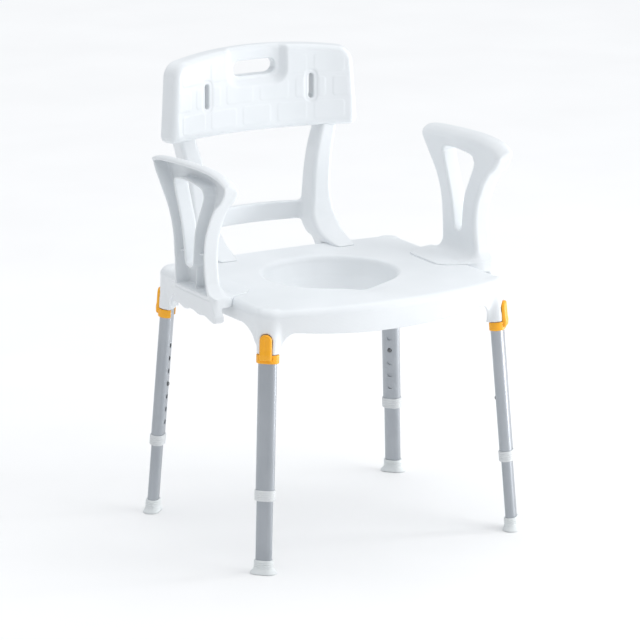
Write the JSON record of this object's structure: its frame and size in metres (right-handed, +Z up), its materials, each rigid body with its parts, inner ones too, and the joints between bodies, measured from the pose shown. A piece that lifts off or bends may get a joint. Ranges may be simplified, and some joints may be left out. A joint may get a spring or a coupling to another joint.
{
  "type": "shower stool",
  "caption": "Shower stool with an oval seat opening, lift-off armrests and backrest, and telescopic aluminium legs with snap buttons, clips and rubber feet.",
  "frame": {"origin": "on the floor under the middle of the whole chair", "axes": "+Z up, -Y towards the front of the seat, +X to the right seen from the front"},
  "size_m": [0.606, 0.567, 0.856],
  "materials": {
    "white_plastic": "satin",
    "offwhite_plastic": "satin",
    "pale_rubber": "matt",
    "aluminium_tube": "satin anodised",
    "steel_button": "satin",
    "orange_plastic": "gloss"
  },
  "bodies": {
    "chair": {"seat_shell": "white_plastic", "front_left_leg_tube": "aluminium_tube", "front_left_leg_collar": "offwhite_plastic", "front_left_clip_ring": "orange_plastic", "front_right_leg_tube": "aluminium_tube", "front_right_leg_collar": "offwhite_plastic", "front_right_clip_ring": "orange_plastic", "rear_left_leg_tube": "aluminium_tube", "rear_left_leg_collar": "offwhite_plastic", "rear_left_clip_ring": "orange_plastic", "rear_right_leg_tube": "aluminium_tube", "rear_right_leg_collar": "offwhite_plastic", "rear_right_clip_ring": "orange_plastic"},
    "front_left_leg": {"front_left_leg_extension": "aluminium_tube", "front_left_foot": "pale_rubber", "front_left_button_spring": "steel_button"},
    "front_left_button": {"front_left_height_button": "steel_button"},
    "front_left_lever": {"front_left_clip_lever": "orange_plastic"},
    "front_right_leg": {"front_right_leg_extension": "aluminium_tube", "front_right_foot": "pale_rubber", "front_right_button_spring": "steel_button"},
    "front_right_button": {"front_right_height_button": "steel_button"},
    "front_right_lever": {"front_right_clip_lever": "orange_plastic"},
    "rear_left_leg": {"rear_left_leg_extension": "aluminium_tube", "rear_left_foot": "pale_rubber", "rear_left_button_spring": "steel_button"},
    "rear_left_button": {"rear_left_height_button": "steel_button"},
    "rear_left_lever": {"rear_left_clip_lever": "orange_plastic"},
    "rear_right_leg": {"rear_right_leg_extension": "aluminium_tube", "rear_right_foot": "pale_rubber", "rear_right_button_spring": "steel_button"},
    "rear_right_button": {"rear_right_height_button": "steel_button"},
    "rear_right_lever": {"rear_right_clip_lever": "orange_plastic"},
    "armrest_left_body": {"armrest_left": "white_plastic"},
    "armrest_right_body": {"armrest_right": "white_plastic"},
    "backrest": {"backrest_frame": "white_plastic", "backrest_panel": "white_plastic"}
  },
  "joints": [
    {"name": "front_left_height", "type": "slide", "parent": "chair", "child": "front_left_leg", "axis": [-0.0597, -0.0597, -0.9964], "range_m": [-0.075, 0.075]},
    {"name": "front_left_button_press", "type": "slide", "parent": "front_left_leg", "child": "front_left_button", "axis": [-0.7046, -0.7046, 0.0844], "range_m": [0, 0.005], "stiffness_N_per_m": 1500, "springref_m": -0.002, "deforming": ["front_left_button_spring"]},
    {"name": "front_left_lever_open", "type": "hinge", "parent": "chair", "child": "front_left_lever", "pos_m": [-0.25319, -0.24089, 0.394], "axis": [0.7071, -0.7071, 0], "range_deg": [0, 25], "stiffness_Nm_per_rad": 0.4, "springref_deg": -5.73},
    {"name": "front_right_height", "type": "slide", "parent": "chair", "child": "front_right_leg", "axis": [0.0597, -0.0597, -0.9964], "range_m": [-0.075, 0.075]},
    {"name": "front_right_button_press", "type": "slide", "parent": "front_right_leg", "child": "front_right_button", "axis": [0.7046, -0.7046, 0.0844], "range_m": [0, 0.005], "stiffness_N_per_m": 1500, "springref_m": -0.002, "deforming": ["front_right_button_spring"]},
    {"name": "front_right_lever_open", "type": "hinge", "parent": "chair", "child": "front_right_lever", "pos_m": [0.25319, -0.24089, 0.394], "axis": [0.7071, 0.7071, 0], "range_deg": [0, 25], "stiffness_Nm_per_rad": 0.4, "springref_deg": -5.73},
    {"name": "rear_left_height", "type": "slide", "parent": "chair", "child": "rear_left_leg", "axis": [-0.0597, 0.0597, -0.9964], "range_m": [-0.075, 0.075]},
    {"name": "rear_left_button_press", "type": "slide", "parent": "rear_left_leg", "child": "rear_left_button", "axis": [-0.7046, 0.7046, 0.0844], "range_m": [0, 0.005], "stiffness_N_per_m": 1500, "springref_m": -0.002, "deforming": ["rear_left_button_spring"]},
    {"name": "rear_left_lever_open", "type": "hinge", "parent": "chair", "child": "rear_left_lever", "pos_m": [-0.25319, 0.16889, 0.394], "axis": [-0.7071, -0.7071, 0], "range_deg": [0, 25], "stiffness_Nm_per_rad": 0.4, "springref_deg": -5.73},
    {"name": "rear_right_height", "type": "slide", "parent": "chair", "child": "rear_right_leg", "axis": [0.0597, 0.0597, -0.9964], "range_m": [-0.075, 0.075]},
    {"name": "rear_right_button_press", "type": "slide", "parent": "rear_right_leg", "child": "rear_right_button", "axis": [0.7046, 0.7046, 0.0844], "range_m": [0, 0.005], "stiffness_N_per_m": 1500, "springref_m": -0.002, "deforming": ["rear_right_button_spring"]},
    {"name": "rear_right_lever_open", "type": "hinge", "parent": "chair", "child": "rear_right_lever", "pos_m": [0.25319, 0.16889, 0.394], "axis": [-0.7071, 0.7071, 0], "range_deg": [0, 25], "stiffness_Nm_per_rad": 0.4, "springref_deg": -5.73},
    {"name": "armrest_left_lift", "type": "slide", "parent": "chair", "child": "armrest_left_body", "axis": [0, 0, 1], "range_m": [0, 0.06]},
    {"name": "armrest_right_lift", "type": "slide", "parent": "chair", "child": "armrest_right_body", "axis": [0, 0, 1], "range_m": [0, 0.06]},
    {"name": "backrest_lift", "type": "slide", "parent": "chair", "child": "backrest", "axis": [0, 0, 1], "range_m": [0, 0.06]}
  ]
}
